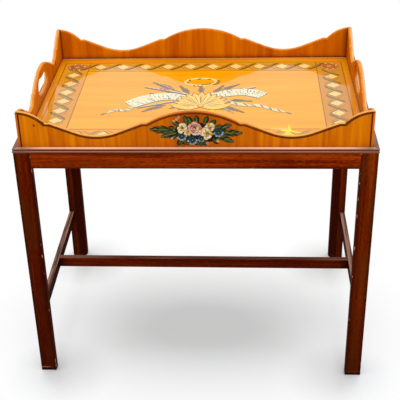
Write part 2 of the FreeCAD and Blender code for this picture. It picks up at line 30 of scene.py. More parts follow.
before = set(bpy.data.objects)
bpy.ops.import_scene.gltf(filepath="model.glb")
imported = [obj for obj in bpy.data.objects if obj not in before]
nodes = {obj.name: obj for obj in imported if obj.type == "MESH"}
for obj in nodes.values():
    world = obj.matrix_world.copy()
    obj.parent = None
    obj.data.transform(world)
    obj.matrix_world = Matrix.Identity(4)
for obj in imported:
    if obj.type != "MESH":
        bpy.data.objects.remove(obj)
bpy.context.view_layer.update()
scene = bpy.context.scene
MM = 0.001
SIDES = ("front", "right", "rear", "left")
ALONG, INWARD, UPRIGHT = 0, 1, 2

# Heights and half widths of the frame that the finishes keep to, in millimetres.
RAIL_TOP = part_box("rim_front")[0].z / MM
RAIL_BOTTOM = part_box("rail_front")[0].z / MM
RIM_HEIGHT = (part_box("rim_front")[1].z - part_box("rim_front")[0].z) / MM
FLOOR_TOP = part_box("tray_base")[1].z / MM
TRAY_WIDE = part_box("gallery_right")[1].x / MM
TRAY_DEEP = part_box("gallery_rear")[1].y / MM
WALL = (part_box("gallery_rear")[1].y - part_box("gallery_rear")[0].y) / MM
STAND_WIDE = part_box("leg_front_right")[1].x / MM
STAND_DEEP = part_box("leg_rear_right")[1].y / MM
LEG = STAND_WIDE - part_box("leg_front_right")[0].x / MM
CROSS_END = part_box("stretcher_right")[0].x / MM
SIDE_END = STAND_DEEP - LEG

# The painted border of the tray's floor lies between two lines, given by their half width and half depth
# about a middle that is a little nearer to the front. Its ground is duller to the right and fresher at the
# front, between the places given.
BORDER_MIDDLE = -8.5
OUTER_LINE = (332.5, 211.5)
INNER_LINE = (272.0, 158.5)
GROUND_DULLER, GROUND_FRESHER = (120.0, 300.0), (-110.0, -INNER_LINE[1])

# The distances between which tones fade: painted shade beside an arris, where a stretcher meets the next
# piece, under the rim and along its edge; a darker tone at a leg's foot and a duller one at the rim's
# corners;
# on the galleries inside the tray, painted shade in its corners and at its foot and a dark line in its seams;
# and the outer arris.
ARRIS_DARK, JOINT_DARK, FOOT_DARK = (0.0, 9.0), (2.0, 24.0), (8.0, 4.0)
UNDER_RIM, RIM_EDGE, RIM_CORNER = (RAIL_TOP - 5, RAIL_TOP - 1), (0.6, 2.6), (18.0, 55.0)
TRAY_INSIDE, TRAY_SEAM, TRAY_CORNER = (-4.0, -0.5), (0.6, 2.6), (0.0, 44.0)
TRAY_FOOT, OUTER_ARRIS = (FLOOR_TOP, FLOOR_TOP + 16), (-0.55 * WALL, -0.65 * WALL)

# A scrape round the foot of each leg, and marks in the front gallery's wood, with the middle of each, the
# distances between which it fades out, its share and its tone: a small knot, and old varnish gone dark behind
# the painted spray. The front is redder within a half width, over a fade.
SCRAPE_HEIGHT, SCRAPE_WIDE = 10.5, 4.0
FRONT_MARKS = (
    ((-320.8, 0.0, 627.3), 1.5, 3.6, 0.8, "5E2000"),
    ((0.0, 0.0, 634.0), 12.0, 58.0, 0.55, "802C00"),
)
REDDER_HALF, REDDER_FADE = 150.0, 70.0

# Settings of a Mix node for two colours, which come out at the third output.
COLOURS = {"data_type": "RGBA", "out": 2}

# The clear varnish on the tray's floor and its paint, and how strongly wood, paint and varnish refract.
DEEP_VARNISH = {"Coat Weight": 0.85, "Coat Roughness": 0.04, "Coat IOR": 1.5}
IOR = 1.5


def linear(hex_code):
    """An sRGB hex colour as linear light."""
    shares = [int(hex_code[place:place + 2], 16) / 255 for place in (0, 2, 4)]
    return (*[s / 12.92 if s <= 0.04045 else ((s + 0.055) / 1.055) ** 2.4 for s in shares], 1)


def add(tree, kind, inputs=(), stops=(), out=0, **settings):
    """Adds a node and gives one of its outputs, if it has any. Inputs are values or other nodes' outputs, in
    order or by the input's name or number. Stops are the places and colours of a colour ramp."""
    node = tree.nodes.new(f"ShaderNode{kind}")
    for name, value in settings.items():
        setattr(node, name, value)
    for name, value in inputs.items() if isinstance(inputs, dict) else enumerate(inputs):
        if isinstance(value, bpy.types.NodeSocket):
            tree.links.new(value, node.inputs[name])
        else:
            node.inputs[name].default_value = value
    for index, (place, colour) in enumerate(stops):
        elements = node.color_ramp.elements
        stop = elements[index] if index < 2 else elements.new(place)
        stop.position = place
        stop.color = linear(colour)
    return node.outputs[out] if len(node.outputs) else None


def new_material(name):
    """An empty material and its node tree."""
    material = bpy.data.materials.new(name)
    material.use_nodes = True
    material.node_tree.nodes.clear()
    return material, material.node_tree


def new_object(name, data):
    """A new object in the scene."""
    item = bpy.data.objects.new(name, data)
    scene.collection.objects.link(item)
    return item


def finish_surface(tree, inputs):
    """Ends a material with its shader."""
    shader = add(tree, "BsdfPrincipled", {"IOR": IOR, **inputs})
    add(tree, "OutputMaterial", {"Surface": shader})


def places(tree):
    """Where a point of the piece is, in millimetres: across, inward and up."""
    spot = add(tree, "TexCoord", out="Object")
    spot = add(tree, "VectorMath", {0: spot, "Scale": 1 / MM}, operation="SCALE")
    return add(tree, "SeparateXYZ", [spot]).node.outputs


def depth_within(tree, spot, bound):
    """How far a place lies within two faces at equal distances to both sides of the middle."""
    spot = add(tree, "Math", [spot], operation="ABSOLUTE")
    return add(tree, "Math", [bound, spot], operation="SUBTRACT")


def facing_up(tree, low, high, share):
    """How far the surface faces up, from nothing at the low slope to the given share at the high one."""
    normal = add(tree, "TexCoord", out="Normal")
    upward = add(tree, "SeparateXYZ", [normal], out="Z")
    return add(tree, "MapRange", [upward, low, high, 0.0, share])


def grain(tree, lengthwise, width, length, seed, detail=2.0):
    """Noise drawn out along one axis, with streaks as wide and as long as given in millimetres."""
    scales = [1 / (width * MM)] * 3
    scales[lengthwise] = 1 / (length * MM)
    spot = add(tree, "TexCoord", out="Object")
    start = (seed, seed * 1.7, seed * 0.6)
    spread = add(tree, "Mapping", {"Vector": spot, "Scale": scales, "Location": start})
    return add(tree, "TexNoise", {"Vector": spread, "Scale": 1.0, "Detail": detail, "Roughness": 0.55})


def stain(tree, colour, tone, measure, start, finish, first, last, *limits):
    """Lays a tone over a colour. Its share goes from first to last while a measure goes from start to finish,
    and is cut down by the limits, which are shares too."""
    share = add(tree, "MapRange", [measure, start, finish, first, last])
    for limit in limits:
        share = add(tree, "Math", [share, limit], operation="MULTIPLY")
    return add(tree, "Mix", {0: share, 6: colour, 7: linear(tone)}, **COLOURS)


def knocked_arris(tree, colour, away, lengthwise, seed):
    """A colour darkened with painted shade near an arris, with pale knocks a few millimetres wide here and
    there on the arris itself. Away says how far a point lies from the arris."""
    # Painted shade beside the arris.
    colour = stain(tree, colour, "240502", away, *ARRIS_DARK, 0.7, 0.0)
    knock = grain(tree, lengthwise, 6, 18, seed, 5.0)
    width = add(tree, "MapRange", [knock, 0.57, 0.69, 0.1, 2.2])
    near = add(tree, "Math", [width, away], operation="SUBTRACT")
    return stain(tree, colour, "B08C78", near, 0.0, 0.6, 0.0, 0.8)


def french_polished_mahogany(name, lengthwise, deep, middle, light, aged, top, seed, use, scraped=0.0):
    """Old mahogany under thin french polish: red-brown streaks along the piece, fine dark pores, browner
    patches, a low shine. Faces that look up are paler in streaks, with dust and a painted sheen. Legs have
    knocked arrises with painted shade beside them, are darker to the foot with painted shade, are scraped
    just above it, are darker at the very foot and have painted shade on the chamfer. Rails are knocked along
    their lower arris with painted shade beside it and have painted shade under the rim, and stretchers have
    painted shade where they meet the next piece."""
    material, tree = new_material(name)
    broad = grain(tree, lengthwise, 20, 420, seed)
    streak = grain(tree, lengthwise, 3.6, 170, seed + 3, 3.0)
    pore = grain(tree, lengthwise, 2.0, 11, seed + 5)
    blend = add(tree, "Mix", {0: 0.5, 2: broad, 3: streak}, data_type="FLOAT")
    colour = add(tree, "ValToRGB", {"Fac": blend}, [(0.37, deep), (0.63, light), (0.5, middle)])
    colour = stain(tree, colour, deep, pore, 0.54, 0.68, 0.0, 0.7)
    colour = stain(tree, colour, light, pore, 0.46, 0.32, 0.0, 0.6)
    patch = grain(tree, lengthwise, 26, 110, seed + 12)
    colour = stain(tree, colour, aged, patch, 0.46, 0.64, 0.0, 0.55)
    across, inward, up = places(tree)
    if use == "stretcher":
        joint = depth_within(tree, (across, inward)[lengthwise], (CROSS_END, SIDE_END)[lengthwise])
        # Painted shade where the stretcher meets the next piece.
        colour = stain(tree, colour, "1C0502", joint, *JOINT_DARK, 0.75, 0.0)
    # Faces that look up are paler in streaks: dust and a painted sheen.
    colour = stain(tree, colour, top, streak, 0.42, 0.56, 0.2, 1.0, facing_up(tree, 0.5, 0.95, 0.95))
    if use == "leg":
        # Painted shade on the chamfer, found from how the face is turned.
        normal = add(tree, "SeparateXYZ", [add(tree, "TexCoord", out="Normal")]).node.outputs
        slant = add(tree, "Math", [normal["X"], normal["Y"]], operation="MULTIPLY")
        slant = add(tree, "Math", [slant], operation="ABSOLUTE")
        colour = stain(tree, colour, "240302", slant, 0.2, 0.45, 0.0, 0.78)
        # Painted shade, darker towards the foot.
        colour = stain(tree, colour, "301004", up, 0.0, RAIL_BOTTOM, 0.6, 0.0)
        reach = []
        for spot, outer in ((across, STAND_WIDE), (inward, STAND_DEEP)):
            reach.append(depth_within(tree, depth_within(tree, spot, outer - LEG / 2), LEG / 2))
        away = add(tree, "Math", reach, operation="MAXIMUM")
        colour = knocked_arris(tree, colour, away, lengthwise, seed + 8)
        scrape = add(tree, "Math", [up, SCRAPE_HEIGHT], operation="SUBTRACT")
        scrape = depth_within(tree, scrape, SCRAPE_WIDE / 2)
        broken = grain(tree, ALONG, 14, 24, seed + 9)
        broken = add(tree, "MapRange", [broken, 0.42, 0.56, 0.0, 1.0])
        colour = stain(tree, colour, "90604C", scrape, 0.0, 1.0, 0.0, scraped, broken)
        colour = stain(tree, colour, "140302", up, *FOOT_DARK, 0.0, 0.75)
    if use == "rail":
        sides = [depth_within(tree, across, STAND_WIDE), depth_within(tree, inward, STAND_DEEP)]
        face = add(tree, "Math", sides, operation="MINIMUM")
        height = add(tree, "Math", [up, RAIL_BOTTOM], operation="SUBTRACT")
        height = add(tree, "Math", [height], operation="ABSOLUTE")
        away = add(tree, "Math", [face, height], operation="MAXIMUM")
        colour = knocked_arris(tree, colour, away, lengthwise, seed + 8)
        # Painted shade under the rim.
        colour = stain(tree, colour, "2E0601", up, *UNDER_RIM, 0.0, 0.45)
    rough = add(tree, "MapRange", [streak, 0.0, 1.0, 0.3, 0.46])
    bump = add(tree, "Bump", {"Height": pore, "Strength": 0.12, "Distance": 0.1 * MM})
    finish_surface(tree, {
        "Base Color": colour, "Roughness": rough, "Normal": bump, "Specular IOR Level": 0.001,
    })
    return material


def mahogany_moulding_worn_and_painted_light(name, lengthwise, rubbed_and_highlit, seed):
    """The moulded rim: mahogany, pale on its top, rubbed by the tray and by dusting and with a painted
    highlight, a painted highlight on the top of the bead and painted shade under it, duller at the corners,
    and painted shade along the nose and in the quirk."""
    material, tree = new_material(name)
    across, inward, up = places(tree)
    level = add(tree, "MapRange", [up, RAIL_TOP, RAIL_TOP + RIM_HEIGHT, 0.0, 1.0])
    # By height: painted shade under the bead and a painted highlight on its top, painted shade in the quirk
    # and on the nose, and the top, pale with wear and a painted highlight.
    colour = add(tree, "ValToRGB", {"Fac": level}, [
        (0.0, "3E0E02"), (1.0, rubbed_and_highlit), (0.26, "5E240A"), (0.42, "B87850"), (0.54, "B47248"),
        (0.58, "642C0E"), (0.8, "642C0E"), (0.9, "6E3812"), (0.985, "82481E"),
    ])
    streak = grain(tree, lengthwise, 3, 130, seed, 3.0)
    share = add(tree, "MapRange", [streak, 0.3, 0.7, 0.0, 0.12])
    streaked = {0: share, 6: colour, 7: linear("B8734A")}
    colour = add(tree, "Mix", streaked, blend_type="MULTIPLY", **COLOURS)
    faces = [depth_within(tree, across, STAND_WIDE), depth_within(tree, inward, STAND_DEEP)]
    face = add(tree, "Math", faces, operation="MINIMUM")
    # Painted shade on the rounding of the nose.
    colour = stain(tree, colour, "82481E", face, *RIM_EDGE, 0.75, 0.0, facing_up(tree, 0.6, 0.9, 1.0))
    corner = add(tree, "Math", faces, operation="MAXIMUM")
    colour = stain(tree, colour, "70483A", corner, *RIM_CORNER, 0.65, 0.0)
    rough = add(tree, "MapRange", [streak, 0.0, 1.0, 0.28, 0.42])
    finish_surface(tree, {"Base Color": colour, "Roughness": rough, "Specular IOR Level": 0.15})
    return material


def varnished_satinwood_gallery(name, seed, streaks, tones, rubbed_and_highlit, arris, marks):
    """Satinwood under varnish, the figure upright: soft ribbons of gold and orange brown. The rounded top
    edges are rubbed paler and given a painted highlight, and their outer side has a tone of its own. Inside
    the tray, painted shade darkens the corners and the foot of the walls, and the seams have a dark line. A
    gallery with marks is redder in its middle."""
    material, tree = new_material(name)
    broad = grain(tree, UPRIGHT, 24, 600, seed)
    streak = grain(tree, UPRIGHT, 9, 180, seed + 3, 6.0)
    pore = grain(tree, UPRIGHT, 1.2, 14, seed + 8)
    blend = add(tree, "Mix", {0: streaks, 2: broad, 3: streak}, data_type="FLOAT")
    deep, middle, light = tones
    colour = add(tree, "ValToRGB", {"Fac": blend}, [(0.34, deep), (0.66, light), (0.5, middle)])
    # The rounded top edges: rubbed paler and given a painted highlight, which is stronger on the front.
    edge = {0: facing_up(tree, 0.45, 0.95, rubbed_and_highlit), 6: colour, 7: linear("DFA858")}
    colour = add(tree, "Mix", edge, **COLOURS)
    across, inward, up = places(tree)
    walls = [depth_within(tree, across, TRAY_WIDE - WALL), depth_within(tree, inward, TRAY_DEEP - WALL)]
    nearest = add(tree, "Math", walls, operation="MINIMUM")
    inside = add(tree, "MapRange", [nearest, *TRAY_INSIDE, 0.0, 1.0])
    corner = add(tree, "Math", walls, operation="MAXIMUM")
    height = add(tree, "Math", [up, FLOOR_TOP], operation="SUBTRACT")
    seam = add(tree, "Math", [corner, height], operation="MINIMUM")
    # Painted shade inside the tray, in the corners and along the foot of the walls.
    corner = add(tree, "MapRange", [corner, *TRAY_CORNER, 0.7, 0.0])
    foot = add(tree, "MapRange", [up, *TRAY_FOOT, 0.92, 0.0])
    painted_shade = add(tree, "Math", [corner, foot], operation="MAXIMUM")
    painted_shade = add(tree, "Math", [painted_shade, 2.2], operation="POWER")
    painted_shade = add(tree, "Math", [painted_shade, inside], operation="MULTIPLY")
    colour = add(tree, "Mix", {0: painted_shade, 6: colour, 7: linear("641600")}, **COLOURS)
    colour = stain(tree, colour, "3A0C00", seam, *TRAY_SEAM, 0.8, 0.0, inside)
    tone, share, level, steep = arris
    sloping = [facing_up(tree, low, high, 1.0) for low, high in ((0.04, 0.16), (level, steep))]
    colour = stain(tree, colour, tone, nearest, *OUTER_ARRIS, 0.0, share, *sloping)
    if marks:
        middle = depth_within(tree, across, REDDER_HALF)
        colour = stain(tree, colour, "A84400", middle, 0.0, REDDER_FADE, 0.0, 0.45)
        spot = add(tree, "CombineXYZ", {"X": across, "Z": up})
    for middle, near, far, share, tone in marks:
        away = add(tree, "VectorMath", [spot, middle], out="Value", operation="DISTANCE")
        colour = stain(tree, colour, tone, away, near, far, share, 0.0)
    rough = add(tree, "MapRange", [streak, 0.0, 1.0, 0.28, 0.4])
    bump = add(tree, "Bump", {"Height": pore, "Strength": 0.1, "Distance": 0.1 * MM})
    finish_surface(tree, {
        "Base Color": colour, "Roughness": rough, "Normal": bump, "Specular IOR Level": 0.02,
    })
    return material


def varnished_satinwood_floor():
    """Satinwood under a deep varnish, the grain along the tray, with a duller ground under the painted
    border, dullest at the right and hardly so at the front. The varnish shows the galleries and the white
    studio as a mirror would. The underside is plain and browner."""
    material, tree = new_material("satinwood_varnished_floor")
    broad = grain(tree, ALONG, 30, 500, 2.0)
    streak = grain(tree, ALONG, 5, 240, 6.0, 3.0)
    blend = add(tree, "Mix", {0: 0.5, 2: broad, 3: streak}, data_type="FLOAT")
    colour = add(tree, "ValToRGB", {"Fac": blend}, [(0.34, "E09000"), (0.66, "F0A608"), (0.5, "E99B00")])
    across, inward, _ = places(tree)
    inward = add(tree, "Math", [inward, BORDER_MIDDLE], operation="SUBTRACT")
    shares = []
    for wide, deep in (OUTER_LINE, INNER_LINE):
        within = [depth_within(tree, across, wide), depth_within(tree, inward, deep)]
        within = add(tree, "Math", within, operation="MINIMUM")
        shares.append(add(tree, "Math", [within, 0.0], operation="GREATER_THAN"))
    band = add(tree, "Math", shares, operation="SUBTRACT")
    fresh = add(tree, "MapRange", [inward, *GROUND_FRESHER, 1.0, 0.4])
    colour = stain(tree, colour, "BA7E26", across, *GROUND_DULLER, 0.56, 0.78, band, fresh)
    colour = stain(tree, colour, "D07C18", shares[0], 1.0, 0.0, 0.0, 0.6)
    plain = add(tree, "ValToRGB", {"Fac": blend}, [(0.34, "8A5A26"), (0.66, "A87638")])
    above = facing_up(tree, 0.5, 0.9, 1.0)
    colour = add(tree, "Mix", {0: above, 6: plain, 7: colour}, **COLOURS)
    rough = add(tree, "MapRange", [streak, 0.0, 1.0, 0.3, 0.4])
    finish_surface(tree, {
        "Base Color": colour, "Roughness": rough, "Specular IOR Level": 0.05, **DEEP_VARNISH,
    })
    return material


def bare_beech():
    """Beech left bare under the stand: pale, with short brown flecks."""
    material, tree = new_material("beech_sawn_bare")
    broad = grain(tree, ALONG, 14, 120, 3.0)
    fleck = grain(tree, ALONG, 1.2, 6, 7.0)
    colour = add(tree, "ValToRGB", {"Fac": broad}, [(0.35, "B08358"), (0.65, "CFA67A")])
    colour = stain(tree, colour, "7E5634", fleck, 0.6, 0.72, 0.0, 0.6)
    finish_surface(tree, {"Base Color": colour, "Roughness": 0.62, "Specular IOR Level": 0.3})
    return material


def dull_steel():
    """Steel screws and pins, drawn and dulled by age, with brown specks."""
    material, tree = new_material("steel_drawn_dull")
    speck = grain(tree, UPRIGHT, 1.5, 2.5, 5.0, 3.0)
    tone = add(tree, "ValToRGB", {"Fac": speck}, [(0.4, "8E8B86"), (0.72, "6A4A34"), (0.6, "7C766F")])
    rough = add(tree, "MapRange", [speck, 0.0, 1.0, 0.34, 0.6])
    finish_surface(tree, {"Base Color": tone, "Metallic": 1.0, "Roughness": rough})
    return material


def dark_stringing():
    """A thin line of dark stained wood let into the satinwood, flush under the varnish."""
    material, tree = new_material("stringing_stained_inlaid")
    streak = grain(tree, UPRIGHT, 1.5, 6, 11.0)
    tone = add(tree, "ValToRGB", {"Fac": streak}, [(0.35, "380E00"), (0.65, "5A1C00")])
    finish_surface(tree, {"Base Color": tone, "Roughness": 0.34, "Specular IOR Level": 0.08})
    return material


def oil_paint(name, thin, full, varnish):
    """Oil paint laid on with a small brush and varnished over: thin and full places in each stroke. The
    floor's varnish is deeper than the galleries'."""
    material, tree = new_material(f"oil_paint_{name}")
    body = grain(tree, ALONG, 2.5, 6, 3.0, 3.0)
    tone = add(tree, "ValToRGB", {"Fac": body}, [(0.36, thin), (0.6, full)])
    rough = add(tree, "MapRange", [body, 0.0, 1.0, 0.3, 0.44])
    finish_surface(tree, {"Base Color": tone, "Roughness": rough, "Specular IOR Level": 0.06, **varnish})
    return material


def dress(node, material):
    """Gives a piece of the frame its finish."""
    for slot in nodes[node].material_slots:
        slot.material = material


# The mahogany's tones from deep to light, its browner patches, and the tone of faces that look up, paler
# with dust and a painted sheen.
RAIL_TONES = ("541000", "7C2400", "9C3C08", "6A2206", "7A5344")
SIDE_TONES = ("1E0300", "2C0702", "420F04", "260702", "B48A76")
CROSS_TONES = ("440B00", "5A1903", "6E2708", "420F03", "8A6052")
# The legs have the same, and a share of the scrape.
LEGS = {
    "front_left": (("340500", "4A0D00", "641B02", "4E2404", "5C3A2E"), 0.75),
    "front_right": (("460E00", "661C00", "843002", "5C2A06", "5C3A2E"), 0.12),
    "rear_right": (("561402", "702204", "86300A", "4A1404", "5C3A2E"), 0.1),
    "rear_left": (("4A1002", "601C04", "762A0A", "3A1004", "5C3A2E"), 0.1),
}
# The galleries: the share of narrow streaks and the tones from deep to light, on the front one and on the
# others, how far each top edge is rubbed pale and given a painted highlight, and the tone of the outer arris,
# dark with stringing on the long ones and pale on the short ones, with its share and the slopes between which
# it fades.
FRONT_FIGURE, OTHER_FIGURE = (0.6, ("AA4E00", "C66700", "D87C00")), (0.42, ("B04F00", "CE6A00", "DE8000"))
RUBBED_AND_HIGHLIT = {"front": 0.85, "right": 0.45, "rear": 0.3, "left": 0.45}
ARRIS = (("4A1600", 0.9, 0.74, 0.6), ("F0D0A0", 0.55, 0.99, 0.9))
cross_wood = french_polished_mahogany("mahogany_polished_cross", ALONG, *CROSS_TONES, 7.3, "stretcher")
side_wood = french_polished_mahogany("mahogany_polished_side", INWARD, *SIDE_TONES, 4.6, "stretcher")
# The tops of the long rims and of the short ones: pale with wear and a painted highlight, stronger on the
# long rims.
rim_wood = [
    mahogany_moulding_worn_and_painted_light("mahogany_moulded_worn_highlit_long", ALONG, "FFCEB0", 5.0),
    mahogany_moulding_worn_and_painted_light("mahogany_moulded_worn_highlit_short", INWARD, "A87058", 6.0),
]
block_wood = bare_beech()
steel = dull_steel()
for turn, side in enumerate(SIDES):
    along = (ALONG, INWARD)[turn % 2]
    rail_name = f"mahogany_polished_{side}"
    dress(f"rail_{side}", french_polished_mahogany(rail_name, along, *RAIL_TONES, turn + 1, "rail"))
    dress(f"rim_{side}", rim_wood[turn % 2])
    figure, marks = (FRONT_FIGURE, FRONT_MARKS) if side == "front" else (OTHER_FIGURE, ())
    dress(f"gallery_{side}", varnished_satinwood_gallery(
        f"satinwood_varnished_{side}", 1.0 + 2.3 * turn, *figure, RUBBED_AND_HIGHLIT[side], ARRIS[turn % 2], marks
    ))
for turn, (corner, (tones, scraped)) in enumerate(LEGS.items()):
    leg_name = f"mahogany_polished_leg_{corner}"
    leg_wood = french_polished_mahogany(leg_name, UPRIGHT, *tones, 3.0 + turn * 1.4, "leg", scraped)
    dress(f"leg_{corner}", leg_wood)
    dress(f"corner_block_{corner}", block_wood)
dress("stretcher_left", side_wood)
dress("stretcher_right", side_wood)
dress("stretcher_cross", cross_wood)
dress("tray_base", varnished_satinwood_floor())
dress("gallery_corner_splines", block_wood)
for fixing in ("corner_block_screws", "rim_pins", "tray_base_pins"):
    dress(fixing, steel)

# Inlay and paint are thin films. Each shape has a left and a right side, lists of as many points on a flat
# face, in millimetres. A film stands proud of the wood by its first lift and a little more for each coat,
# and sinks a little into the wood, so that it is closed all round.
FIRST_LIFT, COAT_LIFT, SPREAD_LIFT, SINK = 0.08, 0.02, 0.0004, 0.06
SAME_SPOT = 1e-3


def film(name, shapes, on_face, body="tray"):
    """Makes one piece of flat closed shapes. A shape is its two sides, its finish and its coat."""
    spots, faces, finishes, materials = [], [], [], []
    for number, (left, right, material, coat) in enumerate(shapes):
        if material not in materials:
            materials.append(material)
        lift = FIRST_LIFT + COAT_LIFT * coat + SPREAD_LIFT * (number % 40)
        rows = []
        for a, b in zip(left, right):
            first = len(spots)
            for point in [a] if math.dist(a, b) < SAME_SPOT else [a, b]:
                spots += [on_face(*point, lift), on_face(*point, -SINK)]
            last = len(spots) - 2
            rows.append((first, last, first + 1, last + 1))
        found = []
        for (l0, r0, dl0, dr0), (l1, r1, dl1, dr1) in zip(rows, rows[1:]):
            found += [(l0, r0, r1, l1), (dl1, dr1, dr0, dl0), (l1, dl1, dl0, l0), (r0, dr0, dr1, r1)]
        (l0, r0, dl0, dr0), (l1, r1, dl1, dr1) = rows[0], rows[-1]
        found += [(dl0, dr0, r0, l0), (l1, r1, dr1, dl1)]
        for face in found:
            kept = list(dict.fromkeys(face))
            if len(kept) > 2:
                faces.append(kept)
                finishes.append(materials.index(material))
    mesh = bpy.data.meshes.new(name)
    mesh.from_pydata([Vector(spot) * MM for spot in spots], [], faces)
    for material in materials:
        mesh.materials.append(material)
    mesh.polygons.foreach_set("material_index", finishes)
    mesh.update()
    piece = new_object(name, mesh)
    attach(piece, body)


def on_floor(across, inward, lift):
    """A point on the tray's floor."""
    return across, inward, FLOOR_TOP + lift


def on_gallery(side):
    """Points on the outer face of a gallery: along it as seen from outside, height, and lift off it."""
    def place(along, height, lift):
        wide, deep = TRAY_WIDE + lift, TRAY_DEEP + lift
        spots = {
            "front": (along, -deep), "right": (wide, along), "rear": (-along, deep), "left": (-wide, -along),
        }
        return *spots[side], height
    return place


# Stringing: a dark line that follows the scalloped top edge of every gallery, turns down the corners and
# goes on behind the rim.
STRING_WIDE, STRING_CORNER, STRING_UNDER, STRING_IN, STRING_STEP = 2.0, 3.2, 3.5, 4.2, 2.5
STRING_FOOT, TOP_STEP = 2.0, 1.0
string_wood = dark_stringing()


def stringing(side, half):
    """The line's two sides along one gallery's outer face. The heights of the top come from the frame."""
    tree = BVHTree.FromObject(nodes[f"gallery_{side}"], bpy.context.evaluated_depsgraph_get())
    count = int(half * 2 / TOP_STEP)
    tops = []
    for i in range(count + 1):
        along = -half + WALL + (half - WALL) * 2 * i / count
        x, y, _ = on_gallery(side)(along, 0, -WALL / 2)
        top = tree.ray_cast(Vector((x * MM, y * MM, 1)), Vector((0, 0, -1)))[0]
        tops.append((along, top.z / MM))
    end = half - STRING_IN
    steps = int(2 * end / STRING_STEP)
    line = [-end + 2 * end * i / steps for i in range(steps + 1)]

    def under(along, drop):
        near = [(a, h) for a, h in tops if abs(a - along) < drop]
        near = near or [tops[0] if along < 0 else tops[-1]]
        return min(h - math.sqrt(max(drop ** 2 - (a - along) ** 2, 0)) for a, h in near)

    foot, inner = RAIL_TOP + STRING_FOOT, end - STRING_CORNER
    upper = [(a, under(a, STRING_UNDER)) for a in line]
    lower = [(min(max(a, -inner), inner), under(a, STRING_UNDER + STRING_WIDE)) for a in line]
    left = [(-end, foot), *upper, (end, foot)]
    right = [(-inner, foot), *lower, (inner, foot)]
    return left, right, string_wood, 0


for turn, side in enumerate(SIDES):
    line = stringing(side, (TRAY_WIDE, TRAY_DEEP)[turn % 2])
    film(f"stringing_{side}", [line], on_gallery(side))

# Brush work. Every shape is a pair of sides, so that a film can be made of it.
CURVE_STEPS, ROUND_STEPS = 5, 8
brush = random.Random(11)


def stroke(points, widths):
    """A brush stroke through points, its widths spread evenly from its start to its end."""
    ends = [points[0], *points, points[-1]]
    line = []
    for spans in zip(ends, ends[1:], ends[2:], ends[3:]):
        for step in range(CURVE_STEPS):
            t = step / CURVE_STEPS
            line.append(tuple(
                q + ((r - p) * t + (2 * p - 5 * q + 4 * r - s) * t ** 2
                     + (3 * q - p - 3 * r + s) * t ** 3) / 2
                for p, q, r, s in zip(*spans)
            ))
    line.append(points[-1])
    left, right = [], []
    for number, (x, y) in enumerate(line):
        before, after = line[max(number - 1, 0)], line[min(number + 1, len(line) - 1)]
        run = math.dist(before, after)
        dx, dy = (after[0] - before[0]) / run, (after[1] - before[1]) / run
        at = number / (len(line) - 1) * (len(widths) - 1)
        low = min(int(at), len(widths) - 2)
        half = (widths[low] + (widths[low + 1] - widths[low]) * (at - low)) / 2
        left.append((x - dy * half, y + dx * half))
        right.append((x + dy * half, y - dx * half))
    return left, right


def out_from(x, y, angle, reach):
    """The point at a distance from another along an angle in degrees."""
    way = math.radians(angle)
    return x + math.cos(way) * reach, y + math.sin(way) * reach


def touch(x, y, angle, length, width, bow=0.0):
    """One touch of the brush, such as a leaf or a petal, from its base out along an angle in degrees."""
    middle = out_from(*out_from(x, y, angle, length / 2), angle + 90, bow)
    points = [(x, y), middle, out_from(x, y, angle, length)]
    return stroke(points, (0.0, width * 0.75, width, width * 0.8, 0.0))


def petal(x, y, angle, length, width):
    """A broad petal: narrow at its base and round at its end."""
    points = [(x, y), out_from(x, y, angle, length / 2), out_from(x, y, angle, length)]
    return stroke(points, (width * 0.3, width * 0.7, width, width * 0.95, width * 0.45))


def curl(x, y, radius, start, sweep, width):
    """A thin bent line, such as the edge of a petal in the heart of a rose."""
    points = [out_from(x, y, start + sweep * step / 3, radius) for step in range(4)]
    return stroke(points, (width * 0.2, width, width, width * 0.2))


def dot(x, y, radius, tall=1.0):
    """A round dab, or an oval one."""
    turns = [math.radians(-90 + 180 * step / ROUND_STEPS) for step in range(ROUND_STEPS + 1)]
    edge = [(radius * math.cos(t), y + radius * tall * math.sin(t)) for t in turns]
    return [(x - out, up) for out, up in edge], [(x + out, up) for out, up in edge]


def lozenge(x, y, wide, tall):
    """A lozenge on its point."""
    return [[(x, y - tall), (x + out, y), (x, y + tall)] for out in (-wide, wide)]


# The painted border of the floor: lozenges between crossing ribbons, a rosette in each corner square, thin
# brown lines beside them, and a pale line where the floor meets the galleries. Cells: number and pitch.
LONG_CELLS, SHORT_CELLS = (10, 54.4), (6, 50.0)
UPRIGHT_LINE, LEVEL_LINE, EDGE_LINE = 2.0, 1.5, 4.0
# The strokes of a gilt star over one lozenge at the front: their points, widths and paints.
STAR = (
    (((0, -24), (18, -27), (36, -27)), (8, 7, 1), "gold"),
    (((15, -20), (-4, -16), (-28, -7)), (2, 9, 8, 2), "gilt"),
    (((-4, -14), (-4, -30), (-4, -50)), (16, 7, 3, 0), "gilt"),
)
FLOOR_PAINTS = {
    "olive": ("4A3606", "6A5014"), "tan": ("9C6A28", "B4803A"), "cream": ("E2C074", "F2D892"),
    "straw": ("BE9434", "D4AE4E"), "gilt": ("F6C400", "FFD800"), "sage": ("5E5024", "7C6A38"),
    "brown": ("864806", "A0600C"), "pink": ("A05428", "C4704A"), "mint": ("C8C49E", "EAE2C4"),
    "leaf": ("525632", "7A7A52"), "mauve": ("624850", "8A6C70"), "gold": ("DCA22C", "F4CA5A"),
    "umber": ("6E4210", "8E5A20"), "ground": ("A06A24", "B47C34"), "peach": ("DC9E58", "ECB474"),
    "linen": ("C2B488", "E4D6AE"),
}
floor_paint = {name: oil_paint(f"floor_{name}", *tones, DEEP_VARNISH) for name, tones in FLOOR_PAINTS.items()}


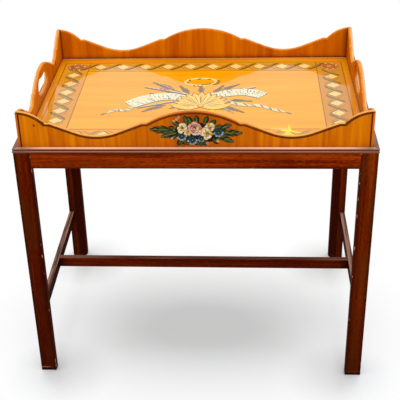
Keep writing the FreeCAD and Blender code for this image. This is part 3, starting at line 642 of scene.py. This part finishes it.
def border_band(cells, pitch, ribbon, bright):
    """Lozenges and two waving ribbons along one side, drawn along x about its middle. The dark ribbon lies
    over the pale one, and both swing round the lozenges. The bright cells have a gilt lozenge and a star."""
    shapes = []
    for cell in range(cells + 1):
        x = (cell - cells / 2) * pitch
        wave = [(-21, -19), (-12, -14), (0, 0), (12, 14), (21, 19)]
        mirrored = [(x - a, b) for a, b in wave]
        wave = [(x + a + brush.uniform(-1, 1), b) for a, b in wave]
        above = [(a - 0.8, b + 1.6) for a, b in wave[1:4]]
        shapes += [
            (stroke(mirrored, (0.8, 3.0, 3.6, 3.0, 0.8)), "tan", 0),
            (stroke(wave, (2.0, 7.5, 10.0, 7.5, 2.0)), ribbon, 1),
            (stroke(above, (0.6, 1.8, 0.6)), "straw", 2),
        ]
    for cell in range(cells):
        x = (cell - (cells - 1) / 2) * pitch + brush.uniform(-0.8, 0.8)
        pale = "gilt" if cell in bright else "cream"
        shapes += [
            (lozenge(x - 0.7, -1.4, 15.2, 16.2), "olive", 2),
            (lozenge(x, 0, 14.0, 14.8), pale, 3),
            (lozenge(x, 0, 9.0, 9.4), "straw", 4),
            (lozenge(x + 0.4, 0.8, 7.4, 7.6), pale, 5),
            (dot(x, 0, 1.5), "straw", 6),
        ]
        for points, widths, paint in STAR if cell in bright else ():
            shapes.append((stroke([(x + a, b) for a, b in points], widths), paint, 9))
    return shapes


def rosette():
    """A flower seen from the front on a brown ground, with pale dots between its petals."""
    shapes = [(dot(0, 0, 24, 0.86), "ground", 0)]
    for leaf in range(8):
        angle = leaf * 45 + brush.uniform(-7, 7)
        reach = brush.uniform(15, 20)
        shapes += [
            (touch(*out_from(0, 0, angle, 2), angle, reach, 8.5), "pink", 1),
            (touch(*out_from(0, 0, angle, 6), angle, reach - 6, 2.6), "umber", 2),
        ]
        if leaf % 4 != 3:
            spot = out_from(0, 0, angle + 22.5, 18)
            shapes.append((dot(*spot, brush.uniform(1.6, 2.8)), brush.choice(("cream", "peach")), 3))
        shapes.append((touch(*out_from(0, 0, angle + 22.5, 9), angle + 22.5, 8, 3.4), "olive", 1))
    return shapes + [(dot(0, 0, 4.4), "straw", 4), (dot(0, 0, 2.2), "umber", 5)]


def ruled_line(start, finish, wide):
    """A thin ruled line."""
    length = math.dist(start, finish)
    dx, dy = ((b - a) / length * wide / 2 for a, b in zip(start, finish))
    return [[(x - way * dy, y + way * dx) for x, y in (start, finish)] for way in (1, -1)]


def placed(shapes, turn, x, y):
    """Shapes of the border turned by quarter turns and moved to their place, in their paint."""
    cos, sin = ((1, 0), (0, 1), (-1, 0), (0, -1))[turn]
    found = []
    for sides, paint, coat in shapes:
        moved = [[(cos * a - sin * b + x, sin * a + cos * b + y) for a, b in side] for side in sides]
        found.append((*moved, floor_paint[paint], coat))
    return found


# The middle of each side, its ribbon's paint and its bright cells. The right side's cells lie 13 mm nearer to
# the front than the left side's.
wide, deep = ((outer + inner) / 2 for outer, inner in zip(OUTER_LINE, INNER_LINE))
BANDS = (
    (0, BORDER_MIDDLE + deep, "olive", ()), (-wide, 0, "sage", ()),
    (0, BORDER_MIDDLE - deep, "tan", (1,)), (wide, -13, "sage", ()),
)
border = []
for turn, (x, y, ribbon, bright) in enumerate(BANDS):
    cells = (LONG_CELLS, SHORT_CELLS)[turn % 2]
    border += placed(border_band(*cells, ribbon, bright), turn, x, y)
for x in (-wide, wide):
    for y in (-deep, deep):
        border += placed(rosette(), 0, x, y + BORDER_MIDDLE)
inner_wide, inner_deep = TRAY_WIDE - WALL - EDGE_LINE / 2, TRAY_DEEP - WALL - EDGE_LINE / 2
near, far = (BORDER_MIDDLE + side * OUTER_LINE[1] for side in (-1, 1))
for way in (-1, 1):
    for x in (OUTER_LINE[0], INNER_LINE[0]):
        sides = ruled_line((way * x, near), (way * x, far), UPRIGHT_LINE)
        border.append((*sides, floor_paint["brown"], 7))
    for x, y in (OUTER_LINE, INNER_LINE):
        y = BORDER_MIDDLE + way * y
        border.append((*ruled_line((-x, y), (x, y), LEVEL_LINE), floor_paint["brown"], 8))
    sides = ruled_line((-inner_wide, way * inner_deep), (inner_wide, way * inner_deep), EDGE_LINE)
    border.append((*sides, floor_paint["peach"], 0))
film("painted_border", border, on_floor)

# The middle of the floor: a trophy of a gold shell on crossed staves, with a dotted sash to each side, a
# wreath behind, ribbon tails and plumes.
trophy = []


def lay(sides, paint, coat):
    """Adds one stroke of the trophy."""
    trophy.append((*sides, floor_paint[paint], coat))


def plume(x, y, angle, length, paints, coat):
    """A feathery leaf: close touches to both sides of a bent stem."""
    for step in range(9):
        base = out_from(x, y, angle, length * (0.06 + 0.1 * step))
        for side in (-1, 1):
            lean = angle + side * (34 - 2 * step) + brush.uniform(-6, 6)
            reach = (0.3 - 0.016 * step) * length
            lay(touch(*base, lean, reach, 4.0 - 0.2 * step), brush.choice(paints), coat)
    lay(stroke([(x, y), out_from(x, y, angle, length)], (2.4, 1.0)), "umber", coat + 1)


def stave(start, finish, width):
    """A turned stave: a shaded side, a grey body and a light along it."""
    sides = ((-0.3, 0.7, "umber", 1), (0, 0.9, "mauve", 2), (0.25, 0.25, "mint", 3))
    for shift, share, paint, coat in sides:
        points = [(x, y + shift * width) for x, y in (start, finish)]
        lay(stroke(points, [share * width * w for w in (0.6, 1.0, 0.9, 1.0, 0.7)]), paint, coat)


def sash(points, widths):
    """A pale sash with one shaded edge, a few folds and rows of small green dots."""
    lay(stroke([(x, y - 2) for x, y in points], [w + 4 for w in widths]), "leaf", 4)
    left, right = stroke(points, widths)
    lay((left, right), "mint", 5)
    for row in range(1, len(left)):
        for share in (0.12, 0.3, 0.48, 0.66, 0.84):
            share += brush.uniform(-0.06, 0.06)
            spot = [a + (b - a) * share + brush.uniform(-2, 2) for a, b in zip(left[row], right[row])]
            lay(dot(*spot, brush.uniform(1.1, 2.0)), brush.choice(("leaf", "sage", "straw", "leaf")), 6)
    for row in (4, 9, 12):
        ends = list(zip(left[row], right[row + 1]))
        fold = [[a + (b - a) * share for a, b in ends] for share in (0.05, 0.4, 0.7)]
        lay(stroke(fold, (2.4, 1.6, 0.4)), "leaf", 6)


def ribbon_tail(points, width):
    """A twisted ribbon, light where it faces up and dark where it turns, with a frayed end."""
    widths = (width * 0.7, width, width * 0.55, width, width * 0.5, width * 0.8, 1.0)
    lay(stroke([(x, y - 2) for x, y in points], [w + 3 for w in widths]), "tan", 3)
    left, right = stroke(points, widths)
    lay((left, right), "linen", 4)
    for row in range(1, len(left) - 3, 3):
        lay(stroke([left[row], right[row + 2]], (1.2, 4.2, 1.2)), "leaf" if row % 2 else "mauve", 5)
    for side in (-1, 0, 1):
        angle = math.degrees(math.atan2(-1, side * 0.4 + points[-1][0] / 150))
        lay(touch(*points[-1], angle, 16, 3), "leaf", 4)


STAVES = (((-132, -60), (128, 52), 10), ((-126, 54), (134, -56), 10), ((-96, 74), (70, -76), 6))
PLUMES = (
    (-58, 40, 142, 66), (-70, -44, 216, 62), (52, 38, 38, 50), (54, -54, -34, 58),
    (-64, 8, 168, 50), (70, -20, -8, 50), (-50, 12, 140, 54), (-24, 18, 116, 50),
    (4, 22, 92, 44), (34, 18, 66, 50), (58, 12, 42, 50),
)
for settings in STAVES:
    stave(*settings)
for x, y, angle, length in PLUMES:
    plume(x, y, angle, length, ("leaf", "sage", "mauve"), 2)
    plume(x, y - 6, angle - 16, length * 0.7, ("straw", "tan"), 1)
sash([(-30, -8), (-72, 2), (-114, -12), (-152, -44)], (24, 36, 40, 44, 38))
sash([(32, 4), (76, 22), (114, 22), (144, 4)], (24, 34, 36, 38, 34))
ribbon_tail([(-142, -58), (-160, -74), (-178, -70), (-196, -86)], 13)
ribbon_tail([(72, -34), (104, -46), (134, -50), (164, -70), (190, -84)], 15)
RING_STEPS, RING_X, RING_Y, RING_WIDE, RING_DEEP = 24, 2, 84, 35, 21
for step in range(RING_STEPS):
    way = math.tau * step / RING_STEPS
    x, y = RING_X + RING_WIDE * math.cos(way), RING_Y + RING_DEEP * math.sin(way)
    angle = math.degrees(math.atan2(RING_DEEP * math.cos(way), -RING_WIDE * math.sin(way)))
    lay(touch(x, y, angle + 10, 14, 7.5), "cream", 3)
    if step % 3 == 0 or step > RING_STEPS * 0.6:
        lean = angle + brush.choice((-40, 40))
        lay(touch(x, y, lean, 13, 4.6), brush.choice(("sage", "olive", "straw")), 4)
SHELL_FOOT, SHELL_RIBS = (6, -50), 13
for rib in range(SHELL_RIBS):
    turned = rib - (SHELL_RIBS - 1) / 2
    angle = 90 - turned * 14
    reach = 74 - abs(turned) * 2.2
    lay(touch(*SHELL_FOOT, angle, reach + 4, 20), "umber", 7)
    lay(touch(*SHELL_FOOT, angle, reach, 17), "gold", 8)
    light, shade = out_from(*SHELL_FOOT, angle - 3, 6), out_from(*SHELL_FOOT, angle + 6, 10)
    lay(touch(*light, angle - 2, reach * 0.8, 3.6), "cream" if rib % 3 else "straw", 9)
    lay(touch(*shade, angle + 1, reach * 0.66, 1.8), "umber", 9)
x, y = SHELL_FOOT
for side in (-1, 1):
    scroll = [(x, y), (x + side * 26, y - 13), (x + side * 52, y - 4), (x + side * 66, y + 10)]
    lay(stroke([(a, b - 2) for a, b in scroll], (11, 15, 13, 4)), "umber", 9)
    lay(stroke(scroll, (9, 13, 11, 3)), "gold", 10)
    lay(stroke([(a, b + 2) for a, b in scroll[:3]], (2, 2.4, 0.8)), "cream", 11)
    for leaf in range(4):
        base = (x + side * (18 + 16 * leaf), y - 10 + 3 * leaf)
        lay(touch(*base, 270 + side * (30 + 14 * leaf), 22, 8), ("gold", "mauve", "leaf", "straw")[leaf], 6)
lay(dot(x, y, 8), "umber", 12)
lay(dot(x, y + 0.6, 6), "gold", 13)
film("painted_trophy", trophy, on_floor)

# The spray of flowers on the front gallery: a rose among cream, yellow and dark blue flowers in a bank of
# dark leaves, with fern leaves spreading to both sides. Heights are above the tray's floor.
SPRAY_PAINTS = {
    "fern": ("14160A", "2A2C12"), "green": ("222E0E", "3E4C1C"), "vein": ("62602E", "868046"),
    "shade": ("120E06", "22160A"), "rose": ("B0745C", "DAA68A"), "blush": ("8A4A34", "AC6A50"),
    "crimson": ("58160E", "7A281A"), "cream": ("B89A62", "DCC694"), "ivory": ("CEBB90", "E6D8B4"),
    "yellow": ("A4741E", "CEA040"), "slate": ("10262E", "23424C"), "pale_blue": ("728488", "A2AEAE"),
    "amber": ("7E480A", "A4681C"), "bark": ("3C2008", "5E3812"), "pale_rose": ("C4987E", "E2BEA4"),
}
spray_paint = {name: oil_paint(f"spray_{name}", *tones, {}) for name, tones in SPRAY_PAINTS.items()}
spray = []


def dab(sides, paint, coat):
    """Adds one stroke of the spray, lifted to its height on the gallery."""
    left, right = ([(x, y + FLOOR_TOP) for x, y in side] for side in sides)
    spray.append((left, right, spray_paint[paint], coat))


def leaf(x, y, angle, length, width):
    """A dark leaf with a lighter side and a vein."""
    dab(touch(x, y, angle, length, width), "shade", 4)
    lighter = out_from(x, y, angle + 90, width * 0.12)
    dab(touch(*lighter, angle, length * 0.95, width * 0.75), "green", 5)
    dab(touch(x, y, angle, length * 0.85, 0.8), "vein", 6)


def fern(x, y, angle, length):
    """A fern leaf: a dark body with long leaflets to both sides of its stem."""
    dab(touch(x, y, angle, length * 0.94, length * 0.26), "shade", 0)
    for step, share in enumerate((0.2, 0.29, 0.34, 0.35, 0.33, 0.29, 0.24, 0.19, 0.14, 0.09)):
        base = out_from(x, y, angle, length * (0.03 + 0.09 * step))
        for side in (-1, 1):
            lean = angle + side * brush.uniform(26, 36) * (1 - 0.04 * step)
            reach = length * share * brush.uniform(0.85, 1.1)
            paint = brush.choice(("fern", "fern", "fern", "green"))
            dab(touch(*base, lean, reach, 4.2 - 0.2 * step, side), paint, 1)
            if (step + side) % 3 == 0:
                dab(touch(*base, lean, reach * 0.9, 0.7, side), "vein", 2)
    dab(stroke([(x, y), out_from(x, y, angle, length)], (1.8, 0.8)), "vein", 3)


def bloom(x, y, reach, petals, paints, coat):
    """An open flower of uneven petals, each with a dark edge, a light and a shaded root."""
    pale, warm, heart = paints
    for number in range(petals):
        angle = number * 360 / petals + brush.uniform(-20, 20)
        size = reach * brush.uniform(0.76, 1.14)
        wide = size * brush.uniform(0.7, 1.0)
        light = out_from(x, y, angle + brush.uniform(-20, 20), size * 0.6)
        dab(petal(x, y, angle, size + 0.9, wide * 1.12), "bark", coat)
        dab(petal(x, y, angle, size, wide), brush.choice((pale, pale, warm)), coat + 1)
        dab(touch(*light, angle + brush.uniform(40, 140), size * 0.45, size * 0.3), "ivory", coat + 2)
        dab(touch(x, y, angle + brush.uniform(-16, 16), size * 0.62, size * 0.26), heart, coat + 3)
    for number in range(petals):
        angle = number * 360 / petals + 30 + brush.uniform(-16, 16)
        dab(petal(x, y, angle, reach * 0.5, reach * 0.36), brush.choice((pale, warm)), coat + 4)
        dab(touch(x, y, angle, reach * 0.36, reach * 0.16), "bark", coat + 5)
    dab(dot(x, y, reach * 0.16), heart, coat + 6)


def dark_daisy(x, y, reach):
    """A dark blue flower, light along the edges of the petals that hang down."""
    for number in range(9):
        angle = number * 40 + brush.uniform(-8, 8)
        hanging = 180 < angle % 360 < 360
        dab(petal(x, y, angle, reach, reach * 0.48), "pale_blue" if hanging else "slate", 7)
        dab(petal(x, y, angle, reach * (0.72 if hanging else 0.9), reach * 0.4), "slate", 8)
    dab(dot(x, y + reach * 0.1, reach * 0.3, 0.8), "shade", 9)
    dab(dot(x, y, reach * 0.1), "yellow", 10)


BANK = ((-14, 30, 24, 0.8), (6, 28, 29, 0.82), (28, 27, 25, 0.78))
for oval in BANK:
    dab(dot(*oval), "shade", 1)
FERNS = ((-36, 34, 178, 56), (-34, 28, 196, 36), (52, 28, -1, 50), (46, 22, -22, 42), (48, 34, 24, 34))
for settings in FERNS:
    fern(*settings)
LEAVES = (
    (-12, 45, 108, 22), (8, 48, 90, 19), (22, 46, 68, 21), (-26, 42, 138, 20), (32, 44, 48, 19),
    (44, 38, 26, 16), (-36, 38, 160, 14), (-34, 22, 205, 16), (-24, 14, 235, 16), (-10, 9, 255, 9),
    (8, 8, 275, 8), (22, 10, 300, 11), (38, 14, 325, 16), (50, 20, 345, 16), (-38, 30, 182, 14),
    (-2, 46, 126, 20), (16, 7, 250, 8), (-18, 10, 280, 9),
)
for x, y, angle, length in LEAVES:
    leaf(x, y, angle + brush.uniform(-12, 12), length, brush.uniform(9.5, 13.5))
BUDS = ((-31, 54, 118), (-35, 52, 150), (-28, 58, 92), (26, 8, 305), (-40, 18, 215), (46, 12, 320))
for x, y, angle in BUDS:
    dab(touch(x, y, angle, 7, 5), "rose", 7)
    dab(touch(x, y, angle, 5, 2), "blush", 8)
for settings in ((-23, 21, 10.5), (-2, 12, 10.5), (50, 29, 10.5), (16, 15, 7.5)):
    dark_daisy(*settings)
for x, y, reach, coat in ((-22, 39, 11.5, 10), (33, 39, 10.5, 10), (28, 27, 13, 12)):
    bloom(x, y, reach, 6, ("cream", "yellow", "amber"), coat)
bloom(-11, 29, 8.5, 5, ("cream", "yellow", "yellow"), 12)
ROSE = (4, 37)
for number in range(7):
    angle = number * 360 / 7 + brush.uniform(-14, 14)
    size = brush.uniform(12, 16)
    tone = brush.choice(("rose", "rose", "pale_rose", "blush"))
    dab(petal(*ROSE, angle, size + 0.9, size), "crimson" if number % 2 else "blush", 20)
    dab(petal(*out_from(*ROSE, angle + 90, 0.8), angle, size, size * 0.86), tone, 21)
for number in range(5):
    angle = number * 72 + 20 + brush.uniform(-12, 12)
    dab(petal(*ROSE, angle, 10.2, 10), "blush", 22)
    dab(petal(*out_from(*ROSE, angle + 90, 0.9), angle, 9, 8.4), "rose", 23)
dab(dot(ROSE[0] - 1.2, ROSE[1] + 2, 3.4, 0.8), "crimson", 24)
for bend in ((8.2, 200, 110), (6.6, 20, 130), (5.2, 190, 120), (4.6, 60, 150), (9.4, 80, 90)):
    dab(curl(*ROSE, *bend, 1.7), "crimson", 25)
for bend in ((7.2, 240, 80), (5.8, 330, 70), (2.6, 100, 160)):
    dab(curl(*ROSE, *bend, 1.5), "ivory", 26)
film("painted_spray", spray, on_gallery("front"))

# The studio: a white floor and a white surround. The surround is plain white where it is seen or
# reflected, and dimmer as light on the table. Away from the table and its feet the floor turns plain white
# too.
SURROUND_LIGHT = 0.58
FLOOR_REACH, PLAIN_FADE, PLAIN_LEAST = 8.0, (0.12, 0.6), 0.15
PLAIN_MOVE, PLAIN_SCALE = (0, 0.13, 0), (1, 1.6, 1)
# The paper under the table is a cooler white than around it, which takes out the warm tint of light that the
# table throws onto it.
PAPER_UNDER, PAPER_AROUND, WHITE = (0.89, 0.95, 0.98, 1), (0.94, 0.957, 0.965, 1), (1, 1, 1, 1)
FOOT_MOVE, FOOT_PLACE, FOOT_FADE = (0, 0.03, 0), (0.33, 0.24, 0), (0.02, 0.13)


def seen_or_mirrored(tree):
    """Whether a ray comes from the camera, a mirror or glass."""
    seen = add(tree, "LightPath", out="Is Camera Ray")
    rays = seen.node.outputs
    for ray in ("Is Glossy Ray", "Is Transmission Ray"):
        seen = add(tree, "Math", [seen, rays[ray]], operation="MAXIMUM")
    return seen


world = bpy.data.worlds.new("white_studio")
scene.world = world
world.use_nodes = True
tree = world.node_tree
tree.nodes.clear()
dim = add(tree, "Background", {"Color": WHITE, "Strength": SURROUND_LIGHT})
white = add(tree, "Background", {"Color": WHITE, "Strength": 1.0})
mixed = add(tree, "MixShader", [seen_or_mirrored(tree), dim, white])
add(tree, "OutputWorld", {"Surface": mixed})

floor_mesh = bpy.data.meshes.new("studio_floor")
corners = [(x * FLOOR_REACH, y * FLOOR_REACH, 0) for x, y in ((-1, -1), (1, -1), (1, 1), (-1, 1))]
floor_mesh.from_pydata(corners, [], [(0, 1, 2, 3)])
studio_floor = new_object("studio_floor", floor_mesh)
paper, tree = new_material("paper_white_matt")
spot = add(tree, "TexCoord", out="Object")
away = add(tree, "Mapping", {"Vector": spot, "Location": PLAIN_MOVE, "Scale": PLAIN_SCALE})
away = add(tree, "VectorMath", [away], operation="LENGTH", out="Value")
away = add(tree, "MapRange", [away, *PLAIN_FADE, PLAIN_LEAST, 1.0])
plain = add(tree, "Math", [away, seen_or_mirrored(tree)], operation="MULTIPLY")
near = add(tree, "VectorMath", [spot, FOOT_MOVE], operation="ADD")
near = add(tree, "VectorMath", [near], operation="ABSOLUTE")
near = add(tree, "VectorMath", [near, FOOT_PLACE], operation="DISTANCE", out="Value")
near = add(tree, "MapRange", [near, *FOOT_FADE, 0.0, 1.0])
plain = add(tree, "Math", [plain, near], operation="MULTIPLY")
tint = add(tree, "Mix", {0: away, 6: PAPER_UNDER, 7: PAPER_AROUND}, **COLOURS)
matt = add(tree, "BsdfDiffuse", {"Color": tint})
glow = add(tree, "Emission", {"Color": WHITE, "Strength": 1.0})
mixed = add(tree, "MixShader", [plain, matt, glow])
add(tree, "OutputMaterial", {"Surface": mixed})
floor_mesh.materials.append(paper)


def softbox(name, place, target, wide, high, level):
    """A soft lamp that looks at a point. Its level is how bright its face is, as a share of white. It stays
    out of the varnish, which mirrors the white surround."""
    lamp = bpy.data.lights.new(name, "AREA")
    lamp.shape = "RECTANGLE"
    lamp.size = wide
    lamp.size_y = high
    lamp.energy = level * math.pi * wide * high
    box = new_object(name, lamp)
    box.location = place
    box.rotation_euler = (Vector(target) - Vector(place)).to_track_quat("-Z", "Y").to_euler()
    box.visible_camera = False
    box.visible_glossy = False


softbox("softbox_over", place=(0, 0.35, 3.0), target=(0, 0, 0), wide=2.6, high=2.2, level=3.1)
softbox("softbox_front", place=(0.4, -3.0, 1.7), target=(0, 0, 0.45), wide=2.6, high=2.0, level=2.1)

# The camera stands where the photograph's did.
CAMERA_PLACE = (0.10016, -1.91094, 1.42328)
TURN, TILT, ROLL = math.radians(4.506), math.radians(30.044), math.radians(2.029)
turned = Matrix.Rotation(TURN, 4, "Z") @ Matrix.Rotation(math.pi / 2 - TILT, 4, "X")
turned = turned @ Matrix.Rotation(-ROLL, 4, "Z")
lens = bpy.data.cameras.new("studio_camera")
lens.sensor_width = 36
lens.lens = 83.52
lens.shift_x = 0.05
camera = new_object("studio_camera", lens)
camera.matrix_world = Matrix.Translation(CAMERA_PLACE) @ turned
scene.camera = camera
scene.view_settings.view_transform = "Standard"
